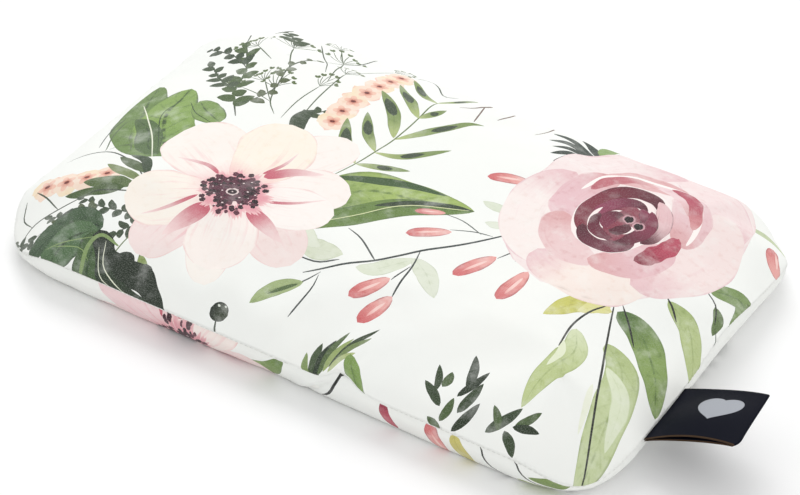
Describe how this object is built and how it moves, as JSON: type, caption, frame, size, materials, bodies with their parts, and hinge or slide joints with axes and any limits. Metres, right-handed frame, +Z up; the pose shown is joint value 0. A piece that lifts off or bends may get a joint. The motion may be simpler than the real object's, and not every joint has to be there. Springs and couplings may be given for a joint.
{
  "type": "nursing pillow",
  "caption": "Small flat nursing pillow with rounded corners, a printed zip-off cotton cover over a fibre-filled cushion, and a folded ribbon label in its side seam.",
  "frame": {"origin": "centre of the flat underside, on the surface the pillow lies on", "axes": "+X along the length, towards the labelled end; +Y from the zipped front edge to the back; +Z up out of the printed top"},
  "size_m": [0.4296, 0.27, 0.05],
  "materials": {
    "printed_cotton": "matte",
    "case_cotton": "matte",
    "fibre": "matte",
    "tape_weave": "matte",
    "coil_nylon": "satin",
    "zip_metal": "satin",
    "sewing_thread": "matte",
    "navy_ribbon": "satin"
  },
  "bodies": {
    "pillow": {"cover_top_panel": "printed_cotton", "cover_bottom_panel": "printed_cotton", "cover_overlock_thread": "sewing_thread", "inner_case_top": "case_cotton", "inner_case_bottom": "case_cotton", "inner_case_overlock_thread": "sewing_thread", "fibre_filling": "fibre", "zip_tape_upper": "tape_weave", "zip_tape_lower": "tape_weave", "zip_stitching_upper": "sewing_thread", "zip_stitching_lower": "sewing_thread", "zip_coil_upper": "coil_nylon", "zip_coil_lower": "coil_nylon", "zip_top_stop_upper": "zip_metal", "zip_top_stop_lower": "zip_metal", "zip_bottom_stop": "zip_metal", "bar_tack_left": "sewing_thread", "bar_tack_right": "sewing_thread"},
    "zip_slider": {"zip_slider": "zip_metal"},
    "side_label": {"woven_label": "navy_ribbon"}
  },
  "joints": [
    {"name": "zip_run", "type": "slide", "parent": "pillow", "child": "zip_slider", "axis": [-1, 0, 0], "range_m": [0, 0.152], "deforming": ["zip_coil_upper", "zip_coil_lower"]},
    {"name": "label_flex", "type": "hinge", "parent": "pillow", "child": "side_label", "pos_m": [0.1906, -0.0585, 0.019], "axis": [0, -1, 0], "range_deg": [-40, 70], "stiffness_Nm_per_rad": 0.0005}
  ]
}
